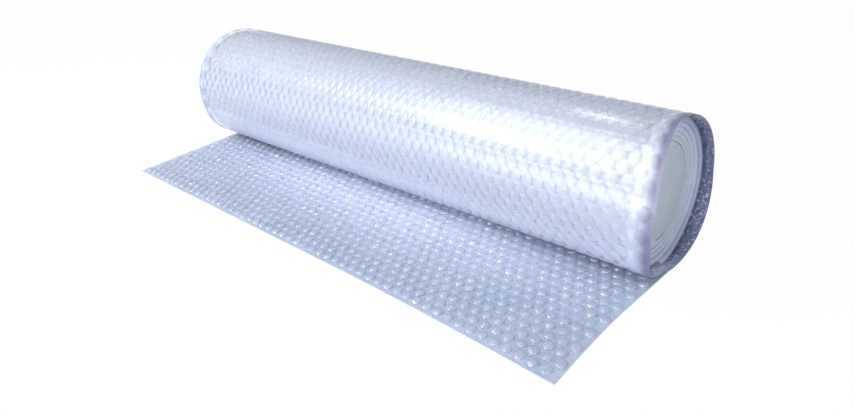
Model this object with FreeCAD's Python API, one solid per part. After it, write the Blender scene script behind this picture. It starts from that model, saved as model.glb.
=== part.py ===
import FreeCAD
import Part
import math
import os

# A roll of bubble film lying on its side, its outer end run out flat on the ground.
# Millimetres. X runs along the roll, -Y points to the leaf's front edge and +Z is up.
# The origin is under the middle of the whole piece, on the ground.

# Driving dimensions of the roll
roll_length = 600.0
roll_radius = 68.0
layer_pitch = 4.0
layer_gap = 0.6
flat_depth = 0.8

# How far in from the outside the turns show at the ends, and how deep the gaps between them are
loose_depth = 24.0
gap_depth = 4.0

# How far the outermost turn stands out past the others at the right end, and how far each row of
# bubbles pushes it out into a ridge
outer_turn_reach = 13.0
ridge_height = 0.6

# Driving dimensions of the flat leaf and its bubbles
leaf_reach = 168.0
film_thickness = 0.8
bubble_pitch = 11.4
edge_margin = 0.7

# Where the leaf is pressed full thickness under the roll, measured from the roll's axis
pressed_reach = 14.0

# Sizes that follow from them
sheet_thickness = layer_pitch - layer_gap
pressed_thickness = sheet_thickness - flat_depth
loose_half_turns = int(loose_depth / (layer_pitch / 2))
axis_y = (leaf_reach - roll_radius) / 2
leaf_front_y = axis_y - leaf_reach
leaf_back_y = axis_y - pressed_reach
leaf_length = leaf_back_y - leaf_front_y
bubbles_in_row = int((roll_length - 2 * edge_margin) / bubble_pitch - 0.5)
cell_radius = bubble_pitch / math.sqrt(3)
row_pitch = 1.5 * cell_radius
bubble_rows = int((leaf_length - 2 * cell_radius) / row_pitch) + 1
first_row = (leaf_length - (bubble_rows - 1) * row_pitch) / 2
node_name = "bubble_wrap"


def section_point(y, z):
    """A point of the roll's section, in the plane of the roll's left end."""
    return FreeCAD.Vector(-roll_length / 2, y, z)


def straight(start, end):
    return Part.LineSegment(start, end).toShape()


def half_turn_radius(number):
    return roll_radius - number * layer_pitch / 2


def turn_point(number, angle, inset):
    """A point on one half turn, at an angle wound on from the roll's underside.

    Even half turns climb the back of the roll and odd ones come down its front. Each is half a
    layer smaller than the one before it, about a centre that moves up by half a layer on the
    front side, so that the turns run into each other smoothly.
    """
    centre_z = roll_radius - flat_depth + (layer_pitch / 2 if number % 2 else 0)
    radius = half_turn_radius(number) - inset
    return section_point(axis_y + radius * math.sin(angle), centre_z - radius * math.cos(angle))


def half_turn(number, inset):
    """Three points on one half turn, from where it starts to where it ends."""
    return [turn_point(number, (number + share) * math.pi, inset) for share in (0, 0.5, 1)]


def outside_of(numbers):
    """The outside of these half turns, wound inwards."""
    return [Part.Arc(*half_turn(number, 0)).toShape() for number in numbers]


def inside_of(numbers):
    """The inside of these half turns, unwound outwards."""
    arcs = [half_turn(number, sheet_thickness) for number in reversed(numbers)]
    return [Part.Arc(end, middle, start).toShape() for start, middle, end in arcs]


def ridged_outside():
    """The outermost turn's outside: a ridge over each row of bubbles and a valley between rows."""
    lift_off_angle = math.acos((roll_radius - flat_depth) / roll_radius)
    clear_of_ground = leaf_reach + lift_off_angle * roll_radius + row_pitch / 4
    points = [turn_point(0, lift_off_angle, 0)]
    start = leaf_reach
    for number in range(2):
        radius = half_turn_radius(number)
        end = start + math.pi * radius
        for step in range(int((end - first_row) / (row_pitch / 2)) + 1):
            distance = first_row + step * row_pitch / 2
            if max(start, clear_of_ground) < distance < end - row_pitch / 4:
                angle = number * math.pi + (distance - start) / radius
                points.append(turn_point(number, angle, ridge_height if step % 2 else 0))
        start = end
    return points + [half_turn(1, 0)[2]]


def whole_section():
    """The outline of the roll with its turns closed up, and of the leaf that it runs out into."""
    points = [section_point(leaf_front_y, 0)] + ridged_outside()
    points += [section_point(axis_y, pressed_thickness), section_point(leaf_back_y, pressed_thickness)]
    points += [section_point(leaf_back_y, film_thickness), section_point(leaf_front_y, film_thickness)]
    return Part.Face(Part.makePolygon(points + points[:1]))


def gap_section():
    """The gap between the loose turns: one spiral strip that starts under the roll."""
    last = loose_half_turns - 1
    opening = straight(half_turn(0, sheet_thickness)[0], half_turn(2, 0)[0])
    closing = straight(half_turn(last + 2, 0)[2], half_turn(last, sheet_thickness)[2])
    outward_side = inside_of(range(loose_half_turns))
    inward_side = outside_of(range(2, loose_half_turns + 2))
    return Part.Face(Part.Wire([opening] + inward_side + [closing] + outward_side))


def recess_section():
    """All that lies inside the outermost turn."""
    closing = straight(half_turn(1, sheet_thickness)[2], half_turn(0, sheet_thickness)[0])
    return Part.Face(Part.Wire(inside_of(range(2)) + [closing]))


def run(section, start, end):
    """A section run along the roll between two distances from its left end."""
    solid = section.extrude(FreeCAD.Vector(end - start, 0, 0))
    solid.translate(FreeCAD.Vector(start, 0, 0))
    return solid


def plain_sheet():
    """The wound roll and its leaf, before the leaf has its bubbles."""
    inner_end = roll_length - outer_turn_reach
    sheet = run(whole_section(), 0, roll_length)
    sheet = sheet.cut(run(recess_section(), inner_end, roll_length))
    sheet = sheet.cut(run(gap_section(), 0, gap_depth))
    return sheet.cut(run(gap_section(), inner_end - gap_depth, inner_end)).Solids[0]


def bubble_centres():
    """Bubble centres on the leaf, in rows along the roll that are staggered by half a pitch."""
    for row in range(bubble_rows):
        y = leaf_front_y + first_row + row * row_pitch
        stagger = bubble_pitch / 4 * (1 if row % 2 else -1)
        for column in range(bubbles_in_row):
            x = (column - (bubbles_in_row - 1) / 2) * bubble_pitch + stagger
            yield FreeCAD.Vector(x, y, film_thickness)


def cell_corners(centre):
    """The six corners of the film's cell around one bubble."""
    corners = []
    for step in range(6):
        angle = math.radians(30 + 60 * step)
        corners.append(centre + FreeCAD.Vector(math.cos(angle), math.sin(angle), 0) * cell_radius)
    return corners


def bubble_facets(centre):
    """One bubble as six facets, rising from its cell's edges to its crown."""
    crown = centre + FreeCAD.Vector(0, 0, sheet_thickness - film_thickness)
    corners = cell_corners(centre)
    pairs = zip(corners, corners[1:] + corners[:1])
    return [Part.Face(Part.makePolygon([a, b, crown, a])) for a, b in pairs]


def bubble_field_outline():
    """The zigzag edge round all the cells: the cell sides that no second cell shares."""
    sides = {}
    for centre in bubble_centres():
        corners = cell_corners(centre)
        for a, b in zip(corners, corners[1:] + corners[:1]):
            middle = (a + b) / 2
            sides.setdefault((round(middle.x, 2), round(middle.y, 2)), []).append((a, b))
    lone = [straight(*found[0]) for found in sides.values() if len(found) == 1]
    return Part.Wire(Part.sortEdges(lone)[0])


def bubble_wrap():
    """The sheet as one solid, with the leaf's plain top swapped for the bubbles."""
    plain = plain_sheet()
    leaf_middle = FreeCAD.Vector(0, (leaf_front_y + leaf_back_y) / 2, film_thickness)
    leaf_top = min(plain.Faces, key=lambda face: face.CenterOfMass.distanceToPoint(leaf_middle))
    faces = [face for face in plain.Faces if not face.isSame(leaf_top)]
    border = [leaf_top.OuterWire, bubble_field_outline()]
    faces.append(Part.makeFace(border, "Part::FaceMakerBullseye"))
    for centre in bubble_centres():
        faces += bubble_facets(centre)
    shell = Part.makeShell(faces)
    shell.sewShape()
    return Part.makeSolid(shell)


os.makedirs("parts", exist_ok=True)
shape = bubble_wrap()
shape.exportStep("parts/" + node_name + ".step")
film_length = math.pi * roll_radius ** 2 / layer_pitch + leaf_reach
print(node_name, "valid", shape.isValid(), "closed", shape.isClosed(), "faces", len(shape.Faces))
print("volume mm3", round(shape.Volume), "box", shape.BoundBox)
print("bubbles in a row", bubbles_in_row, "rows", bubble_rows, "half turns", loose_half_turns)
print("film length mm", round(film_length))
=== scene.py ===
# %% [markdown]
# # A roll of bubble film, its outer end run out flat
#
# The film is one sheet: a flat backing film with a pattern of round air bubbles on one side. On
# the leaf in front the bubbles face up. Wound round, they face inwards, so the outside of the roll
# is the backing film with its bubbles showing through as shallow round bulges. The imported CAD
# model gives the place of everything, and this lesson gives it the bubbles, turns and finish.

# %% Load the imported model
import math
import random

import bpy
import numpy as np
from mathutils import Matrix, Vector


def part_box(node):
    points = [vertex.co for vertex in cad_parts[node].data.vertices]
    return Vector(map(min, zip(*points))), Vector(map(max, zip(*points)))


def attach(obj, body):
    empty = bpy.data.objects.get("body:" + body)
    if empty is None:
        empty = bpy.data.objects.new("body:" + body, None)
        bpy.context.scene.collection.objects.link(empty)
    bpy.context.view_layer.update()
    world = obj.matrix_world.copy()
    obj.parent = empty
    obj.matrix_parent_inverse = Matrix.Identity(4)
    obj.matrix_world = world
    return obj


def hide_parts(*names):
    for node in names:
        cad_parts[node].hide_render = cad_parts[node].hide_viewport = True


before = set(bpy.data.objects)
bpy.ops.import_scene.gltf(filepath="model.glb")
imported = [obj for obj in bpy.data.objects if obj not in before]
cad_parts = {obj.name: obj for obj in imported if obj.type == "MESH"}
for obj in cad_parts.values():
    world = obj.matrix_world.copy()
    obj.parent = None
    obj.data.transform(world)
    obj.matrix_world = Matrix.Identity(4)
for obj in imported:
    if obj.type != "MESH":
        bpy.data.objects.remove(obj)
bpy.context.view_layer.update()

# %% [markdown]
# ## The sizes of the film and the roll
#
# Everything follows from the CAD node's own box and from the sheet's own sizes: how far apart its
# layers lie and how far apart its bubbles are. They are the values of the part's source.

# %% Sizes, in metres
low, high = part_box("bubble_wrap")
flat_depth = 0.0008
layer_pitch = 0.004
sheet_thickness = 0.0034
bubble_pitch = 0.0114
bubble_radius = 0.0049
bubbles_in_row = 52
outer_turn_reach = 0.013
loose_half_turns = 12

roll_radius = (high.z + flat_depth) / 2
axis_y = high.y - roll_radius
axis_z = roll_radius - flat_depth
leaf_length = axis_y - low.y
row_pitch = bubble_pitch * math.sqrt(3) / 2
first_row = 0.0079
inner_end_x = high.x - outer_turn_reach
print("roll radius", round(roll_radius, 4), "axis y", round(axis_y, 4), "row pitch", round(row_pitch, 5))

# %% [markdown]
# ## How the sheet winds
#
# The sheet lies flat from the leaf's front edge to the spot under the roll's axis. From there it
# winds inwards, and each half turn has a radius half a layer smaller than the one before. It could
# be bent by a modifier round a curve, but a formula keeps every bubble in its place: it takes a
# distance along the sheet and a height above its outside, and gives the place in the roll.


# %% The winding formula
def half_turn_radius(number):
    return roll_radius - number * layer_pitch / 2


def half_turn_start(number):
    """The distance along the sheet at which a half turn begins."""
    return leaf_length + sum(math.pi * half_turn_radius(k) for k in range(number))


def wound(distance, height):
    """Where the points of a flat sheet go: y and z for a distance along it and a height above it."""
    y = low.y + distance
    z = height.copy()
    for number in range(loose_half_turns + 2):
        start = half_turn_start(number)
        radius = half_turn_radius(number)
        centre_z = axis_z + (layer_pitch / 2 if number % 2 else 0)
        angle = number * math.pi + (distance - start) / radius
        here = distance > start
        y = np.where(here, axis_y + (radius - height) * np.sin(angle), y)
        z = np.where(here, centre_z - (radius - height) * np.cos(angle), z)
    return y, np.maximum(z, 0.0)


print("half turns start at", [round(half_turn_start(n), 3) for n in range(4)])


# %% Small helpers for reading and moving a mesh's points
def points_of(piece):
    flat = np.zeros(len(piece.data.vertices) * 3)
    piece.data.vertices.foreach_get("co", flat)
    return flat.reshape(-1, 3)


def move_points(piece, points):
    piece.data.vertices.foreach_set("co", np.ascontiguousarray(points).ravel())
    piece.data.update()


def wind(piece):
    """Winds a flat piece into the roll. Its y is a distance along the sheet."""
    points = points_of(piece)
    points[:, 1], points[:, 2] = wound(points[:, 1], points[:, 2])
    move_points(piece, points)


def start_fresh():
    if bpy.context.object and bpy.context.object.mode == "EDIT":
        bpy.ops.object.mode_set(mode="OBJECT")
    bpy.ops.object.select_all(action="DESELECT")


def mark(piece, name, values):
    """Keeps one number for each point, which a finish can read."""
    layer = piece.data.attributes.new(name, "FLOAT", "POINT")
    layer.data.foreach_set("value", np.broadcast_to(values, len(piece.data.vertices)).astype(np.float32))


# %% [markdown]
# ## One bubble
#
# A bubble is a round blister with a steep foot and a soft crown. One is modelled from a
# filled circle: its face is extruded up and drawn in, ring by ring, and its cap is poked to a soft
# point. It keeps few faces, because the sheet holds thousands of its copies.


# %% Model a bubble
def bubble(name, sides, rings, crown):
    """A blister on a filled circle: rings are pairs of radius and height, crown is the cap's rise."""
    start_fresh()
    foot_radius, height = rings[0]
    bpy.ops.mesh.primitive_circle_add(vertices=sides, radius=foot_radius, fill_type="NGON")
    piece = bpy.context.object
    piece.name = name
    bpy.ops.object.mode_set(mode="EDIT")
    bpy.ops.mesh.select_all(action="SELECT")
    radius = foot_radius
    for next_radius, next_height in rings[1:]:
        bpy.ops.mesh.extrude_region_move(
            TRANSFORM_OT_translate={"value": (0, 0, next_height - height)})
        ratio = next_radius / radius
        bpy.ops.transform.resize(value=(ratio, ratio, 1), center_override=(0, 0, 0))
        radius, height = next_radius, next_height
    bpy.ops.mesh.poke(offset=crown)
    bpy.ops.object.mode_set(mode="OBJECT")
    print(name, "faces", len(piece.data.polygons))
    return piece


blister = bubble("blister", 11,[(bubble_radius, 0), (0.00478, 0.0013), (0.0041, 0.0021), (0.0025, 0.0026)], 0.0002)
bulge = bubble("bulge", 10, [(bubble_radius, 0), (0.0041, 0.00014), (0.0029, 0.00039), (0.0015, 0.00053)], 0.00005)


# %% [markdown]
# ## Where the bubbles sit
#
# The bubbles stand in rows along the roll, and each row is shifted by half a pitch against the
# next, which packs them as a honeycomb. The same pattern runs on from the leaf round the roll.

# %% Lay the bubble pattern out
def rows_between(start, end):
    """The numbers of the rows whose bubbles lie between two distances along the sheet."""
    numbers = range(int((end - first_row) / row_pitch) + 2)
    return [n for n in numbers
            if start + bubble_radius < first_row + n * row_pitch < end - bubble_radius]


def row_centres(number):
    stagger = bubble_pitch / 4 * (1 if number % 2 else -1)
    return [((column - (bubbles_in_row - 1) / 2) * bubble_pitch + stagger, first_row + number * row_pitch)
            for column in range(bubbles_in_row)]


def bubble_field(name, model, centres, base, seed, upright=1.0, oval=(1.0, 1.0)):
    """Copies one bubble to every centre. Each copy is a little slacker, fuller or more askew."""
    chance = random.Random(seed)
    shape = points_of(model) * (*oval, 1)
    tallest = shape[:, 2].max()
    faces = [tuple(face.vertices) for face in model.data.polygons]
    points, polygons, tones, rises = [], [], [], []
    for x, y in centres:
        wide = 1 + chance.uniform(-0.05, 0.03)
        full = chance.uniform(0.72, 1.05)
        lean_x, lean_y = chance.gauss(0, 0.09), chance.gauss(0, 0.09)
        copy = shape * (wide, wide * chance.uniform(0.97, 1.03), full)
        copy[:, 2] *= 1 + lean_x * copy[:, 0] / bubble_radius + lean_y * copy[:, 1] / bubble_radius
        copy[:, 2] = base + upright * copy[:, 2]
        copy[:, 0] += x + chance.gauss(0, 0.00012)
        copy[:, 1] += y + chance.gauss(0, 0.00012)
        first = len(points) * len(shape)
        points.append(copy)
        polygons += [tuple(first + v for v in face) for face in faces]
        tones.append(np.full(len(shape), chance.random()))
        rises.append(shape[:, 2] / tallest)
    mesh = bpy.data.meshes.new(name)
    mesh.from_pydata(np.concatenate(points).tolist(), [], polygons)
    piece = bpy.data.objects.new(name, mesh)
    bpy.context.collection.objects.link(piece)
    if upright < 0:
        mesh.flip_normals()
    mark(piece, "tone", np.concatenate(tones))
    mark(piece, "rise", np.concatenate(rises))
    print(name, "bubbles", len(centres), "triangles", sum(len(p) - 2 for p in polygons))
    return piece


def join(name, pieces):
    start_fresh()
    for piece in pieces:
        piece.select_set(True)
    bpy.context.view_layer.objects.active = pieces[0]
    bpy.ops.object.join()
    joined = bpy.context.object
    joined.name = name
    joined.data.name = name
    return joined


# %% [markdown]
# ## The backing film
#
# The film under the bubbles is a thin flat sheet. It is a grid, so that it has enough points to
# bend round the roll. The leaf's film gets a thickness from Solidify, because its edge shows. On
# the roll a single layer is enough, and light passes through it only once.


# %% Make a length of film
def film(name, x_from, x_to, start, end, columns, rows, thickness=0.0, lift=0.0):
    """A flat film from one distance along the sheet to another, lifted off the flat."""
    start_fresh()
    bpy.ops.mesh.primitive_grid_add(x_subdivisions=columns, y_subdivisions=rows, size=1)
    piece = bpy.context.object
    piece.name = name
    bpy.ops.object.mode_set(mode="EDIT")
    bpy.ops.mesh.select_all(action="SELECT")
    bpy.ops.transform.resize(value=(x_to - x_from, end - start, 1), center_override=(0, 0, 0))
    bpy.ops.transform.translate(value=((x_from + x_to) / 2, (start + end) / 2, lift))
    bpy.ops.object.mode_set(mode="OBJECT")
    if thickness:
        solidify = piece.modifiers.new("thickness", "SOLIDIFY")
        solidify.thickness = thickness
        solidify.offset = 1
        bpy.ops.object.modifier_apply(modifier=solidify.name)
    mark(piece, "tone", 0.5)
    mark(piece, "rise", 0.0)
    print(name, "faces", len(piece.data.polygons))
    return piece


film_thickness = 0.0006

# %% [markdown]
# ## The leaf
#
# The leaf is the flat end of the sheet with its bubbles up. Its copies of the bubble sink slightly
# into the film, so no gap shows at their feet. The film and its bubbles stay two pieces, because
# the bubbles are clearer than the film under them. The leaf lies slightly askew, as a sheet that
# was pulled off by hand: its right front corner is drawn out, and its left edge slants.


# %% Build the leaf
def lay_askew(piece):
    """Draws the leaf's right front corner out, and slants its left edge out towards the roll."""
    points = points_of(piece)
    right = np.clip((points[:, 0] - 0.05) / 0.25, 0, 1) ** 2
    left = np.clip((-0.1 - points[:, 0]) / 0.2, 0, 1) ** 1.5
    front = np.clip((0.09 - points[:, 1]) / 0.09, 0, 1) ** 1.5
    share = np.clip(points[:, 1] / leaf_length, 0, 1)
    points[:, 0] += 0.0065 * right * front + (0.004 - 0.013 * share) * left
    points[:, 1] -= 0.007 * right * front
    move_points(piece, points)


leaf_film = film("film_leaf", low.x, high.x, 0, leaf_length, 80, 24, film_thickness)
leaf_rows = rows_between(0, leaf_length - 0.014)
leaf_centres = [centre for number in leaf_rows for centre in row_centres(number)]
leaf_bubbles = bubble_field("film_leaf_bubbles", blister, leaf_centres, film_thickness - 0.0001, seed=11)
for piece in (leaf_film, leaf_bubbles):
    lay_askew(piece)
    wind(piece)
print("leaf rows", len(leaf_rows))

# %% [markdown]
# ## The outermost turn
#
# The outermost turn shows its backing film, and each bubble behind it pushes it out a little. The
# film is pulled tight round the roll, which draws each of these bulges out from row to row.
# Through the clear film the bubbles themselves show, so they are there too, pointing inwards.
# At the right end the turn stands out past the others, furthest at the front, so a strip of its
# inside shows as well. That inside is a wall of its own, because little light reaches it: its
# colour is a painted shade, dark navy at the back, with painted glints, and the bubbles against
# it are painted dark navy as well.


# %% Build the outermost turn
def flare(piece):
    """Draws the right end of the outermost turn out, most at the front of the roll."""
    points = points_of(piece)
    front = np.clip((axis_y - points[:, 1]) / roll_radius, 0, 1)
    low_back = np.clip((points[:, 1] - axis_y) * (axis_z - points[:, 2]) * 2 / roll_radius ** 2, 0, 1)
    reach = np.clip((points[:, 0] - 0.25) / (high.x - 0.25), 0, 1) ** 1.5
    mark(piece, "from_rim", high.x - points[:, 0])
    points[:, 0] += (0.015 * front ** 2 + 0.003 * low_back) * reach
    move_points(piece, points)


def shift_left_end(piece):
    """Draws the left end of the roll out, most at its underside, where the leaf's slant begins."""
    points = points_of(piece)
    below = (axis_z - points[:, 2]) / roll_radius
    reach = np.clip((-0.1 - points[:, 0]) / 0.2, 0, 1) ** 1.5
    points[:, 0] -= (0.0075 + 0.0045 * below) * reach
    move_points(piece, points)


def sag(piece):
    """Lets the lower front of the roll hang out a little under its own weight, most at the left."""
    points = points_of(piece)
    angle = np.arctan2(axis_y - points[:, 1], axis_z - points[:, 2])
    hang = np.sin(math.pi * np.clip(angle / 1.5, 0, 1)) ** 2
    hang *= 0.0015 + 0.0035 * np.clip(0.5 - 2 * points[:, 0], 0, 1)
    points[:, 1] -= hang * np.sin(angle)
    points[:, 2] = np.maximum(points[:, 2] - hang * np.cos(angle), np.minimum(points[:, 2], 0.001))
    move_points(piece, points)


turn_start, turn_end = half_turn_start(0), half_turn_start(2)
skin_lift = bulge.dimensions.z
outer_rows = rows_between(turn_start, turn_end)
outer_centres = [centre for number in outer_rows for centre in row_centres(number)]
skin = film("skin", low.x, high.x, turn_start, turn_end, 60, 96, lift=skin_lift)
bulges = bubble_field("bulges", bulge, outer_centres, skin_lift + 0.00002, 23, upright=-1.0, oval=(0.88, 1.4))
outer_skin = join("film_outer_skin", [skin, bulges])
outer_bubbles = bubble_field("film_outer_bubbles", blister, outer_centres, skin_lift + 0.0002, seed=29)
rim_wall = film("film_rim_wall", inner_end_x - 0.001, high.x, turn_start, turn_end, 4, 96, lift=skin_lift + 0.0004)
for piece in (outer_skin, outer_bubbles, rim_wall):
    wind(piece)
    flare(piece)
    shift_left_end(piece)
    sag(piece)
    print(piece.name, "triangles", sum(len(p.vertices) - 2 for p in piece.data.polygons))

# %% [markdown]
# ## The inner turns
#
# Behind the outermost turn the many layers of film and air scatter light as milk does, so they are
# one closed body whose finish lets light wander through it, which lightens the roll's underside.
# Its colour is painted lighter there as well, a painted light, and darker and bluer over the top and
# back, a painted shade. Its outside follows the second turn. The other turns show only as edges at
# the two ends.
# Each end gets a narrow strip of the sheet, bevelled and wound through five turns, with a small
# uneven shift along the roll, because hand wound film never lines up exactly. At the right end the
# strip's outer turns stand out a little more, and behind the strips a plain body closes the roll.


# %% Build the body behind the outermost turn
def body_behind(name, x_from, x_to):
    """A closed body whose outside is the second turn's."""
    start_fresh()
    bpy.ops.mesh.primitive_cylinder_add(vertices=120, radius=1, depth=x_to - x_from,
                                        location=((x_from + x_to) / 2, 0, 0), rotation=(0, math.pi / 2, 0))
    piece = bpy.context.object
    piece.name = name
    bpy.ops.object.transform_apply(location=True, rotation=True, scale=True)
    points = points_of(piece)
    angle = np.arctan2(points[:, 1], -points[:, 2]) % (2 * math.pi)
    first = np.minimum(angle, math.pi) * half_turn_radius(2)
    second = np.maximum(angle - math.pi, 0) * half_turn_radius(3)
    points[:, 1], points[:, 2] = wound(half_turn_start(2) + first + second, np.zeros(len(points)))
    move_points(piece, points)
    mark(piece, "tone", 0.5)
    mark(piece, "rise", 0.0)
    return piece


backing = body_behind("film_backing", low.x + 0.006, inner_end_x - 0.006)
print("backing", [round(side, 4) for side in backing.dimensions])


# %% Build the wound edges
def wound_edge(name, x_from, x_to, seed, lean):
    """A narrow strip of the sheet wound into the roll, its outer turns further out along x."""
    start, end = half_turn_start(2), half_turn_start(loose_half_turns)
    strip = film(name, x_from, x_to, start, end, 1, 260, layer_pitch - 0.0001)
    bevel = strip.modifiers.new("soft edge", "BEVEL")
    bevel.width = 0.0003
    bevel.segments = 2
    bevel.limit_method = "ANGLE"
    start_fresh()
    strip.select_set(True)
    bpy.context.view_layer.objects.active = strip
    bpy.ops.object.modifier_apply(modifier=bevel.name)
    points = points_of(strip)
    chance = random.Random(seed)
    waves = [(chance.uniform(9, 70), chance.uniform(0, 6.3), chance.uniform(0.2, 0.6)) for _ in range(7)]
    shift = sum(size * np.sin(rate * points[:, 1] + phase) for rate, phase, size in waves)
    inward = -1 if x_to > 0 else 1
    points[:, 0] += inward * 0.0007 * (1 + shift / 2.4)
    points[:, 0] += lean * (1 - (points[:, 1] - start) / (end - start)) ** 2
    move_points(strip, points)
    strip.data.attributes["tone"].data.foreach_set(
        "value", (points[:, 1] / row_pitch % 1).astype(np.float32))
    wind(strip)
    return strip


right_edge = wound_edge("right_edge", inner_end_x - 0.008, inner_end_x, seed=31, lean=0.006)
left_edge = wound_edge("left_edge", low.x, low.x + 0.008, seed=37, lean=0.0)


# %% Build the body behind the edges, with the flat middle of the roll at each end
def body_of_turns():
    start_fresh()
    length = inner_end_x - low.x - 0.0012
    middle_x = (inner_end_x + low.x) / 2
    bpy.ops.mesh.primitive_cylinder_add(vertices=96, radius=0.0425, depth=length,
                                        location=(middle_x, axis_y, axis_z + layer_pitch / 4),
                                        rotation=(0, math.pi / 2, 0))
    core = bpy.context.object
    bpy.ops.object.transform_apply(location=True, rotation=True, scale=True)
    bpy.ops.mesh.primitive_cylinder_add(vertices=96, radius=0.0625, depth=length - 0.004,
                                        location=(middle_x, axis_y, axis_z + layer_pitch / 4),
                                        rotation=(0, math.pi / 2, 0))
    belt = bpy.context.object
    bpy.ops.object.transform_apply(location=True, rotation=True, scale=True)
    for piece in (core, belt):
        start_fresh()
        piece.select_set(True)
        bpy.context.view_layer.objects.active = piece
        bevel = piece.modifiers.new("soft edge", "BEVEL")
        bevel.width = 0.0003
        bevel.segments = 2
        bevel.limit_method = "ANGLE"
        bpy.ops.object.modifier_apply(modifier=bevel.name)
        mark(piece, "tone", 0.5)
        mark(piece, "rise", 0.0)
    return [core, belt]


inner_turns = join("film_inner_turns", [right_edge, left_edge] + body_of_turns())
for piece in (backing, inner_turns):
    shift_left_end(piece)
sag(backing)
print("inner turns triangles", sum(len(p.vertices) - 2 for p in inner_turns.data.polygons))

# %% Smooth the pieces and drop the two models
pieces = (leaf_film, leaf_bubbles, outer_skin, outer_bubbles, rim_wall, backing, inner_turns)
for piece in pieces:
    start_fresh()
    piece.select_set(True)
    bpy.context.view_layer.objects.active = piece
    bpy.ops.object.shade_smooth_by_angle(angle=math.radians(50))
for model in (blister, bulge):
    bpy.data.objects.remove(model)
print("pieces", [piece.name for piece in pieces])

# %% [markdown]
# ## Writing a finish as sums
#
# A finish is a network of nodes. To keep it readable, one small class wraps a node's output so that
# ordinary arithmetic adds the Math nodes, and one method adds any other node.


# %% The finish helpers
class Value:
    """A node's output that sums can be written with."""

    def __init__(self, finish, socket):
        self.finish = finish
        self.socket = socket

    def sum(self, operation, first, second):
        return self.finish.node("ShaderNodeMath", {"operation": operation}, {0: first, 1: second})

    def __add__(self, other):
        return self.sum("ADD", self, other)

    def __mul__(self, other):
        return self.sum("MULTIPLY", self, other)

    def __sub__(self, other):
        return self.sum("SUBTRACT", self, other)

    def __rsub__(self, other):
        return self.sum("SUBTRACT", other, self)

    def __truediv__(self, other):
        return self.sum("DIVIDE", self, other)

    def __pow__(self, other):
        return self.sum("POWER", self, other)

    __radd__ = __add__
    __rmul__ = __mul__


class Finish:
    """A material that is written node by node."""

    def __init__(self, name):
        self.material = bpy.data.materials.new(name)
        self.material.use_nodes = True
        self.tree = self.material.node_tree
        self.shader = self.tree.nodes["Principled BSDF"]

    def node(self, kind, settings=None, inputs=None, output=0):
        made = self.tree.nodes.new(kind)
        for name, value in (settings or {}).items():
            if name == "stops":
                self.set_stops(made.color_ramp, value)
            else:
                setattr(made, name, value)
        for name, value in (inputs or {}).items():
            self.feed(made.inputs[name], value)
        return Value(self, made.outputs[output])

    def set_stops(self, ramp, stops):
        while len(ramp.elements) < len(stops):
            ramp.elements.new(1)
        for element, (place, colour) in zip(ramp.elements, stops):
            element.position = place
            element.color = colour

    def feed(self, socket, value):
        if isinstance(value, Value):
            self.tree.links.new(value.socket, socket)
        else:
            socket.default_value = value

    def mix(self, factor, first, second):
        """A blend of two colours."""
        return self.node("ShaderNodeMix", {"data_type": "RGBA"}, {0: factor, 6: first, 7: second}, output=2)

    def ramp(self, factor, low_end, high_end):
        """0 below low_end and 1 above high_end, with a smooth rise between."""
        return self.node("ShaderNodeMapRange", {"interpolation_type": "SMOOTHSTEP"},
                         {"Value": factor, "From Min": low_end, "From Max": high_end})

    def attribute(self, name):
        return self.node("ShaderNodeAttribute", {"attribute_name": name}, output="Fac")

    def along(self, axis="X"):
        """The distance from the origin along one of the object's axes."""
        place = self.node("ShaderNodeTexCoord", output="Object")
        return self.node("ShaderNodeSeparateXYZ", None, {"Vector": place}, output=axis)

    def noise(self, scale, detail=2.0, stretch=(1, 1, 1)):
        place = self.node("ShaderNodeTexCoord", output="Object")
        place = self.node("ShaderNodeMapping", None, {"Vector": place, "Scale": stretch})
        return self.node("ShaderNodeTexNoise", None, {"Vector": place, "Scale": scale, "Detail": detail})

    def bump(self, height, depth, strength=1.0):
        return self.node("ShaderNodeBump", None, {"Height": height, "Distance": depth, "Strength": strength})

    def surface(self, **inputs):
        for name, value in inputs.items():
            self.feed(self.shader.inputs[name.replace("_", " ")], value)


def colour(red, green, blue):
    return (red, green, blue, 1.0)


# %% [markdown]
# ## The finish of the roll's outside
#
# Clear film over many layers of air and film looks milky and pale blue, with a glossy skin. Glass
# with real refraction would do it, but it is slow and grainy. Here the skin is half clear and
# glossy, the bubbles behind it are clearer still with paler crowns, and the turn behind them is
# milky. Skin and milky turn carry painted light and shade: lighter on the underside, darker and
# bluer over the top and back. Past the inner turns, and at the far left end, the skin has nothing
# behind it and looks closed, and its colour there is a painted shade, dark.

# %% The outer skin
skin_finish = Finish("clear skin")
creases = skin_finish.noise(1.0, 3.0, stretch=(6, 95, 95))
fine = skin_finish.noise(420, 2.0)
relief = skin_finish.bump(fine * 0.2 + creases * 0.9, 0.0010, 0.5)
# Painted shade: at the right rim, where no milky turns lie behind the skin, its colour is painted dark.
near_rim_painted_shade = 1 - skin_finish.ramp(skin_finish.attribute("from_rim"), 0.002, 0.012)
# Painted shade: at the far left end, where no milky turns lie behind the skin, its colour is painted dark blue.
far_rim_painted_shade = 1 - skin_finish.ramp(skin_finish.along(), low.x - 0.008, low.x + 0.008)
upper_part = skin_finish.ramp(skin_finish.along("Z"), axis_z + 0.025, axis_z + 0.045)
# Painted shade: over the top and back the skin's colour is darker and bluer.
painted_shade_over_top = skin_finish.ramp(skin_finish.along("Y"), axis_y - 0.02, axis_y + 0.03)
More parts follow.
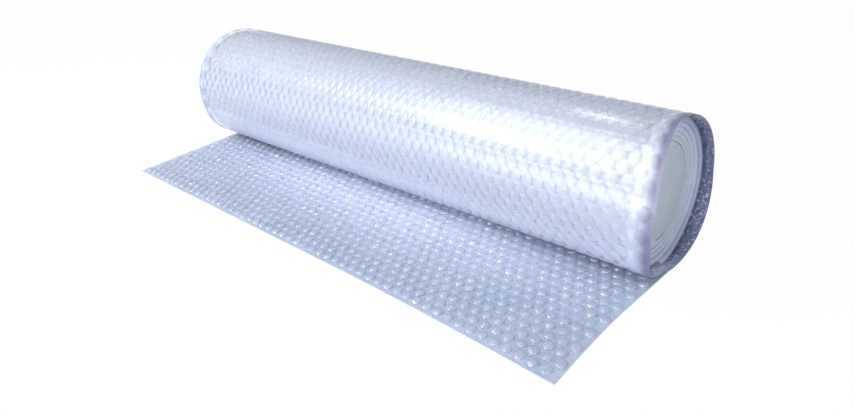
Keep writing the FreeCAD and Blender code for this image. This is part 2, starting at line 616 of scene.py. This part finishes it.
# Painted light: the skin's colour is lighter on the underside, where the lamps reach little.
painted_light_below = 1 - skin_finish.ramp(skin_finish.along("Z"), axis_z - 0.055, axis_z + 0.005)
skin_colour = skin_finish.mix(painted_light_below, colour(0.57, 0.63, 0.77), colour(0.74, 0.81, 1.0))
skin_colour = skin_finish.mix(painted_shade_over_top, skin_colour, colour(0.44, 0.53, 0.80))
skin_colour = skin_finish.mix(near_rim_painted_shade, skin_colour, colour(0.12, 0.12, 0.23))
skin_colour = skin_finish.mix(far_rim_painted_shade, skin_colour, colour(0.14, 0.21, 0.40))
skin_finish.surface(Base_Color=skin_colour, Roughness=0.24 + fine * 0.1 + near_rim_painted_shade * 0.25, Normal=relief)
skin_finish.surface(Alpha=0.24 + painted_shade_over_top * 0.12 + painted_light_below * 0.15 + near_rim_painted_shade * 0.5 + far_rim_painted_shade * 0.5)
skin_finish.surface(Coat_Weight=(1 - near_rim_painted_shade) * (1 - far_rim_painted_shade) * (upper_part * 0.8 + 0.2))
skin_finish.surface(IOR=2.0, Coat_IOR=2.2, Coat_Roughness=0.12)

# %% The bubbles behind the skin
bubble_finish = Finish("clear bubbles")
rise = bubble_finish.attribute("rise")
tone = bubble_finish.attribute("tone")
crown = bubble_finish.ramp(rise, 0.86, 0.98)
bubble_colour = bubble_finish.mix(crown, colour(0.60, 0.66, 0.82), colour(0.80, 0.86, 0.96))
# Painted shade: past the inner turns, at the back, the bubbles are painted dark navy.
past_turns = bubble_finish.ramp(bubble_finish.along(), inner_end_x + 0.001, inner_end_x + 0.003)
painted_shade_at_back = bubble_finish.ramp(bubble_finish.along("Y"), axis_y - 0.02, axis_y + 0.03)
in_the_dark = past_turns * painted_shade_at_back
upper_part = bubble_finish.ramp(bubble_finish.along("Z"), axis_z + 0.025, axis_z + 0.045)
bubble_colour = bubble_finish.mix(in_the_dark, bubble_colour, colour(0.12, 0.14, 0.26))
wrinkles = bubble_finish.noise(330, 2.0)
bubble_finish.surface(Base_Color=bubble_colour, Roughness=0.15 + tone * 0.1)
bubble_finish.surface(Alpha=0.1 + tone * 0.1 + crown * 0.25)
bubble_finish.surface(Coat_Weight=upper_part * 0.75 + 0.25)
bubble_finish.surface(Normal=bubble_finish.bump(wrinkles, 0.0014, 0.9))
bubble_finish.surface(IOR=2.0, Coat_IOR=1.9, Coat_Roughness=0.05)

# %% The milky turn
milky_finish = Finish("film over many layers")
blotches = milky_finish.noise(22, 3.0)
milky_colour = milky_finish.mix(milky_finish.ramp(blotches, 0.35, 0.65), colour(0.60, 0.67, 0.83), colour(0.68, 0.74, 0.88))
# Painted light: the milky turn's colour is lighter on the underside.
painted_light_below = 1 - milky_finish.ramp(milky_finish.along("Z"), axis_z - 0.045, axis_z + 0.005)
# Painted shade: over the top and back the milky turn's colour is darker and bluer.
painted_shade_over_top = milky_finish.ramp(milky_finish.along("Y"), axis_y - 0.015, axis_y + 0.03)
milky_colour = milky_finish.mix(painted_light_below, milky_colour, colour(0.86, 0.90, 1.0))
milky_colour = milky_finish.mix(painted_shade_over_top, milky_colour, colour(0.50, 0.59, 0.85))
milky_finish.surface(Base_Color=milky_colour, Roughness=0.4, IOR=1.5)
milky_finish.surface(Subsurface_Weight=1.0, Subsurface_Radius=(0.9, 1.0, 1.1), Subsurface_Scale=0.06)

# %% The wall inside the rim
rim_finish = Finish("film in the dark")
# Painted shade: the rim wall's colour is dark navy at the back, below the top.
painted_shade_back_side = rim_finish.ramp(rim_finish.along("Y"), axis_y - 0.02, axis_y + 0.03)
at_top = rim_finish.ramp(rim_finish.along("Z"), axis_z + 0.042, axis_z + 0.062)
rim_colour = rim_finish.mix(painted_shade_back_side * (1 - at_top), colour(0.50, 0.56, 0.72), colour(0.12, 0.14, 0.27))
# Painted glints: small pale specks in the rim wall's colour.
painted_glints = rim_finish.ramp(rim_finish.noise(420, 1.0), 0.6, 0.68)
rim_colour = rim_finish.mix(painted_glints * 0.7, rim_colour, colour(0.55, 0.60, 0.76))
rim_relief = rim_finish.bump(rim_finish.noise(230, 3.0), 0.003, 1.0)
rim_finish.surface(Base_Color=rim_colour, Roughness=0.25, Normal=rim_relief)
rim_finish.surface(IOR=1.6, Coat_Weight=1.0, Coat_IOR=1.8, Coat_Roughness=0.05)

# %% [markdown]
# ## The finish of the leaf
#
# A single layer lets the ground show through, so it is darker and greyer than the roll. Its
# bubbles are clear, glossy and wrinkled: the film shows through them, a darker line runs round
# each foot, and each throws back the light in a small hard glint. Film and bubbles are painted
# lighter near the roll, most in the middle, a painted light.

# %% The leaf's film
leaf_finish = Finish("single film")
blotches = leaf_finish.noise(16, 3.0)
# Painted light: the leaf's colour is lighter near the roll, most in the middle.
painted_light_middle = 1 - leaf_finish.ramp((leaf_finish.along() * leaf_finish.along()) ** 0.5, 0.05, 0.3)
painted_light_near_roll = leaf_finish.ramp(leaf_finish.along("Y"), -0.1, 0.01) * (painted_light_middle * 0.7 + 0.3)
front_colour = leaf_finish.mix(leaf_finish.ramp(blotches, 0.35, 0.65), colour(0.32, 0.40, 0.53), colour(0.39, 0.45, 0.59))
leaf_colour = leaf_finish.mix(painted_light_near_roll, front_colour, colour(0.66, 0.73, 0.88))
leaf_finish.surface(Base_Color=leaf_colour, Roughness=0.3, IOR=1.5)
leaf_finish.surface(Normal=leaf_finish.bump(leaf_finish.noise(250, 2.0), 0.001, 0.6))

# %% The leaf's bubbles
glint_finish = Finish("clear bubbles on the leaf")
rise = glint_finish.attribute("rise")
tone = glint_finish.attribute("tone")
foot_line = 1 - glint_finish.ramp(rise, 0.05, 0.75)
glint_colour = glint_finish.mix(foot_line, colour(0.43, 0.49, 0.63), colour(0.32, 0.39, 0.53))
# Painted light: the bubbles' colour is lighter near the roll, most in the middle.
painted_light_middle = 1 - glint_finish.ramp((glint_finish.along() * glint_finish.along()) ** 0.5, 0.05, 0.3)
painted_light_near_roll = glint_finish.ramp(glint_finish.along("Y"), -0.1, 0.01) * (painted_light_middle * 0.7 + 0.3)
glint_colour = glint_finish.mix(painted_light_near_roll, glint_colour, colour(0.64, 0.71, 0.86))
wrinkles = glint_finish.noise(330, 2.0)
glint_finish.surface(Base_Color=glint_colour, Roughness=0.08 + tone * 0.1)
glint_finish.surface(Alpha=0.26 + tone * 0.2 + foot_line * 0.1, Normal=glint_finish.bump(wrinkles, 0.0013, 1.0))
glint_finish.surface(IOR=2.2, Coat_Weight=1.0, Coat_IOR=2.0, Coat_Roughness=0.04)

# %% [markdown]
# ## The finish of the ends
#
# Seen on edge the film is duller. The middle of the roll is a quiet grey green disc, and towards
# the outside the turns part and turn a paler lavender. At the back the outermost turns are painted
# dark navy, a painted shade.

# %% The ends
end_finish = Finish("film on edge")
across = end_finish.along("Y") - axis_y
up = end_finish.along("Z") - axis_z
from_axis = (across * across + up * up) ** 0.5
outer_zone = end_finish.ramp(from_axis, 0.044, 0.056)
cloud = end_finish.noise(60, 3.0)
disc = end_finish.mix(cloud, colour(0.36, 0.43, 0.50), colour(0.46, 0.53, 0.60))
ring = end_finish.mix(cloud, colour(0.38, 0.43, 0.55), colour(0.50, 0.55, 0.68))
end_colour = end_finish.mix(outer_zone, disc, ring)
# Painted shade: the outermost turns at the back of the end are painted dark navy.
painted_shade_at_back = end_finish.ramp(across, -0.01, 0.03) * end_finish.ramp(from_axis, 0.055, 0.066)
end_colour = end_finish.mix(painted_shade_at_back, end_colour, colour(0.22, 0.25, 0.40))
grain = end_finish.noise(500, 2.0)
end_finish.surface(Base_Color=end_colour, Roughness=0.5, Normal=end_finish.bump(grain, 0.0008, 0.5))
end_finish.surface(IOR=1.5)

# %% Give each piece its finish, and tell the frame what it stands for
finishes = (leaf_finish, glint_finish, skin_finish, bubble_finish, rim_finish, milky_finish, end_finish)
for piece, finish in zip(pieces, finishes):
    piece.data.materials.clear()
    piece.data.materials.append(finish.material)
    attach(piece, "root")
    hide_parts("bubble_wrap")
    print(piece.name, "points", len(piece.data.vertices), "finish", finish.material.name)

# %% [markdown]
# ## Floor, light and camera
#
# The floor is a plain pale plane. One large soft box hangs in front and to the left, where the
# roll's glossy band mirrors it, and the sky fills the shadows. The camera stands where the
# photograph was taken from.

# %% Floor and sky
def sees_backdrop(tree):
    """1 for a ray from the camera, or from it by way of a glossy or clear surface, and 0 for others."""
    light_path = tree.nodes.new("ShaderNodeLightPath")
    seen = light_path.outputs["Is Camera Ray"]
    for ray in ("Is Glossy Ray", "Is Transmission Ray"):
        either = tree.nodes.new("ShaderNodeMath")
        either.operation = "MAXIMUM"
        tree.links.new(seen, either.inputs[0])
        tree.links.new(light_path.outputs[ray], either.inputs[1])
        seen = either.outputs[0]
    return seen


start_fresh()
bpy.ops.mesh.primitive_plane_add(size=12, location=(0, 0, -0.0003))
floor = bpy.context.object
floor.name = "floor"
floor_finish = Finish("pale floor")
floor_finish.surface(Base_Color=colour(0.82, 0.82, 0.83), Roughness=0.9)
seen = Value(floor_finish, sees_backdrop(floor_finish.tree))
white = floor_finish.node("ShaderNodeEmission", None, {"Color": colour(1, 1, 1), "Strength": 1.0})
shaded = Value(floor_finish, floor_finish.shader.outputs["BSDF"])
blend = floor_finish.node("ShaderNodeMixShader", None, {0: seen * 0.965, 1: shaded, 2: white})
floor_finish.feed(floor_finish.tree.nodes["Material Output"].inputs["Surface"], blend)
floor.data.materials.append(floor_finish.material)

world = bpy.data.worlds.new("sky")
bpy.context.scene.world = world
world.use_nodes = True
background = world.node_tree.nodes["Background"]
background.inputs["Color"].default_value = colour(0.97, 0.98, 1.0)
strength = world.node_tree.nodes.new("ShaderNodeMapRange")
strength.inputs["To Min"].default_value = 0.5
strength.inputs["To Max"].default_value = 1.0
world.node_tree.links.new(sees_backdrop(world.node_tree), strength.inputs["Value"])
world.node_tree.links.new(strength.outputs[0], background.inputs["Strength"])
print("floor and sky ready")


# %% Lights
def soft_box(name, place, aim, upward, width, height, power):
    """A lamp that faces its aim, with its height along the upward direction."""
    lamp = bpy.data.lights.new(name, "AREA")
    lamp.shape = "RECTANGLE"
    lamp.size = width
    lamp.size_y = height
    lamp.energy = power
    holder = bpy.data.objects.new(name, lamp)
    bpy.context.collection.objects.link(holder)
    back = (Vector(place) - Vector(aim)).normalized()
    across = Vector(upward).cross(back).normalized()
    facing = Matrix((across, back.cross(across), back)).transposed().to_4x4()
    holder.matrix_world = Matrix.Translation(place) @ facing
    return holder


soft_box("key", (-0.26, -0.5, 0.87), (0.18, 0.0, 0.1), (0, 0.85, 0.52), 0.75, 1.1, 7.0)
soft_box("low front fill", (0.0, -1.9, 0.27), (0.0, 0.0, 0.05), (0, 0, 1), 3.0, 0.5, 37.0)
soft_box("end fill", (1.4, -0.6, 0.6), (0.3, 0.05, 0.07), (0, 0, 1), 0.8, 0.8, 5.0)
soft_box("front glints", (-0.9, -0.9, 1.2), (0.0, -0.05, 0.0), (0, 0, 1), 0.2, 0.2, 6.0)
soft_box("back glints", (-0.55, 0.75, 1.4), (0.0, -0.05, 0.0), (0, 0, 1), 0.14, 0.14, 0.6)
print("lights ready")

# %% Camera
yaw, pitch, tilt = -0.7958, 0.4670, -0.0791
forward = Vector((math.sin(yaw) * math.cos(pitch), math.cos(yaw) * math.cos(pitch), -math.sin(pitch)))
level = Vector((math.cos(yaw), -math.sin(yaw), 0))
upright = level.cross(forward)
right = math.cos(tilt) * level + math.sin(tilt) * upright
upward = -math.sin(tilt) * level + math.cos(tilt) * upright
camera_data = bpy.data.cameras.new("camera")
camera_data.sensor_width = 36
camera_data.lens = 30.37
camera_data.clip_start = 0.01
camera = bpy.data.objects.new("camera", camera_data)
bpy.context.collection.objects.link(camera)
turn = Matrix((right, upward, -forward)).transposed().to_4x4()
camera.matrix_world = Matrix.Translation((0.5218, -0.4420, 0.3326)) @ turn
bpy.context.scene.camera = camera
bpy.context.scene.view_settings.view_transform = "Standard"
print("camera at", [round(c, 4) for c in camera.matrix_world.translation])
